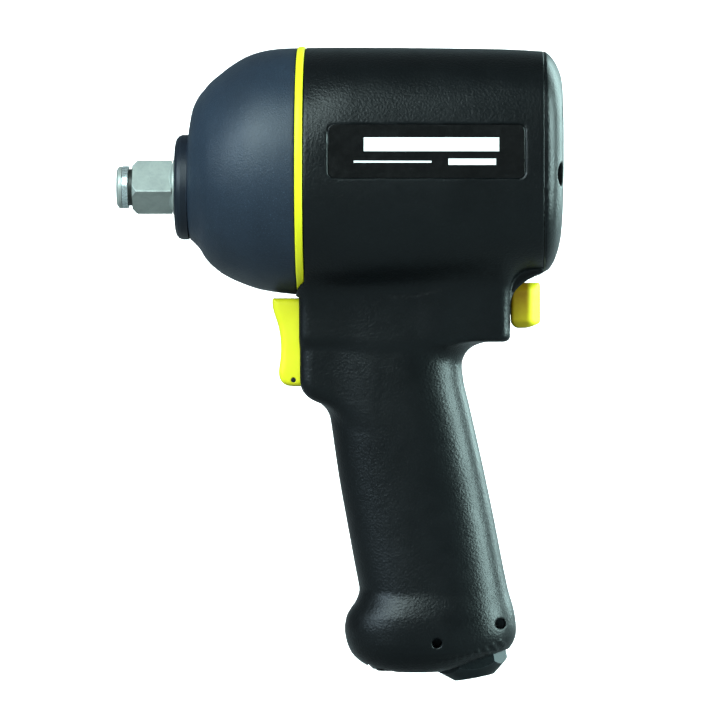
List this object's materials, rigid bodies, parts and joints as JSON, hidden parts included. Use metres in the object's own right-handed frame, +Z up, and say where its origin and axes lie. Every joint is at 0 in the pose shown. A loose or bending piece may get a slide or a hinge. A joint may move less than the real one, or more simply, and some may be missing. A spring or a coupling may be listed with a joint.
{
  "type": "impact wrench",
  "caption": "Pistol-grip air impact wrench with a half-inch square drive, domed hammer case, vane motor, rocking twin hammers, trigger, reverse knob and threaded air inlet.",
  "frame": {"origin": "tip of the square drive, on the drive axis", "axes": "+X along the drive axis from the drive tip to the rear cover, +Z up away from the grip, +Y to the far side"},
  "size_m": [0.1458, 0.0806, 0.207],
  "materials": {
    "body_composite": "fine pebbled moulded composite",
    "case_coat": "black fine-grained coating over cast aluminium",
    "accent_yellow": "satin moulded yellow",
    "gasket_yellow": "cut sheet gasket",
    "collar_black": "satin bumper",
    "bright_steel": "ground and plated",
    "tool_steel": "hardened, lightly oiled",
    "black_steel": "black oxide",
    "cast_alloy": "machined",
    "bronze": "sintered bronze",
    "brass_bush": "turned",
    "label_gloss": null,
    "phenolic": "laminated vane",
    "seal_rubber": "moulded o-ring",
    "spring_steel": "drawn wire",
    "felt": "pressed felt"
  },
  "bodies": {
    "housing": {"motor_housing": "body_composite", "rear_cover": "body_composite", "exhaust_cover": "body_composite", "hammer_case": "case_coat", "accent_ring": "accent_yellow", "rear_gasket": "gasket_yellow", "nose_collar": "collar_black", "anvil_bushing": "bronze", "front_end_plate": "cast_alloy", "rear_end_plate": "cast_alloy", "motor_cylinder": "tool_steel", "front_bearing_outer_race": "bright_steel", "rear_bearing_outer_race": "bright_steel", "cylinder_dowel": "tool_steel", "name_plate": "label_gloss", "inlet_roll_pins": "black_steel", "through_bolts": "black_steel", "bolt_washers": "black_steel", "push_rod_bushing": "brass_bush", "push_rod_o_ring": "seal_rubber", "valve_seat": "brass_bush", "valve_spring": "spring_steel", "spring_seat": "brass_bush", "reverse_valve_bushing": "brass_bush", "detent_ball": "bright_steel", "detent_spring": "spring_steel", "inlet_bushing": "black_steel", "inlet_o_ring": "seal_rubber", "inlet_screen": "brass_bush", "exhaust_muffler": "felt", "exhaust_cover_screw": "black_steel"},
    "anvil": {"anvil": "bright_steel", "socket_retainer_ring": "bright_steel", "retainer_o_ring": "seal_rubber"},
    "rotor": {"rotor": "tool_steel", "rotor_vanes": "phenolic", "hammer_cage": "tool_steel", "hammer_pins": "tool_steel", "front_bearing_inner_race": "bright_steel", "rear_bearing_inner_race": "bright_steel", "rotor_snap_ring": "black_steel"},
    "hammer_front": {"hammer_front": "tool_steel"},
    "hammer_rear": {"hammer_rear": "tool_steel"},
    "front_balls": {"front_bearing_balls": "bright_steel"},
    "rear_balls": {"rear_bearing_balls": "bright_steel"},
    "trigger": {"trigger": "accent_yellow", "trigger_cross_pin": "black_steel", "push_rod": "bright_steel"},
    "throttle_valve": {"throttle_valve": "brass_bush"},
    "reverse_valve": {"reverse_valve": "cast_alloy", "reverse_knob": "accent_yellow", "knob_screw": "black_steel"}
  },
  "joints": [
    {"name": "anvil_spin", "type": "hinge", "parent": "housing", "child": "anvil", "pos_m": [0, 0, 0], "axis": [1, 0, 0], "continuous": true},
    {"name": "rotor_spin", "type": "hinge", "parent": "housing", "child": "rotor", "pos_m": [0.093, 0, 0], "axis": [1, 0, 0], "continuous": true},
    {"name": "hammer_front_rock", "type": "hinge", "parent": "rotor", "child": "hammer_front", "pos_m": [0.043, 0, 0.0202], "axis": [1, 0, 0], "range_deg": [-6, 6]},
    {"name": "hammer_rear_rock", "type": "hinge", "parent": "rotor", "child": "hammer_rear", "pos_m": [0.0515, 0, -0.0202], "axis": [1, 0, 0], "range_deg": [-6, 6]},
    {"name": "front_balls_roll", "type": "hinge", "parent": "housing", "child": "front_balls", "pos_m": [0.0702, 0, 0], "axis": [1, 0, 0], "continuous": true},
    {"name": "rear_balls_roll", "type": "hinge", "parent": "housing", "child": "rear_balls", "pos_m": [0.1164, 0, 0], "axis": [1, 0, 0], "continuous": true},
    {"name": "trigger_pull", "type": "slide", "parent": "housing", "child": "trigger", "axis": [1, 0, 0], "range_m": [0, 0.005]},
    {"name": "throttle_valve_tilt", "type": "hinge", "parent": "housing", "child": "throttle_valve", "pos_m": [0.09509, 0, -0.08073], "axis": [0, 1, 0], "range_deg": [0, 10], "deforming": ["valve_spring"]},
    {"name": "reverse_turn", "type": "hinge", "parent": "housing", "child": "reverse_valve", "pos_m": [0.1335, 0, -0.0387], "axis": [1, 0, 0], "range_deg": [-20, 20]}
  ],
  "couplings": [
    {"joint": "front_balls_roll", "follows": "rotor_spin", "ratio": 0.40741},
    {"joint": "rear_balls_roll", "follows": "rotor_spin", "ratio": 0.37778},
    {"joint": "throttle_valve_tilt", "follows": "trigger_pull", "rad_per_m": 34.38}
  ]
}
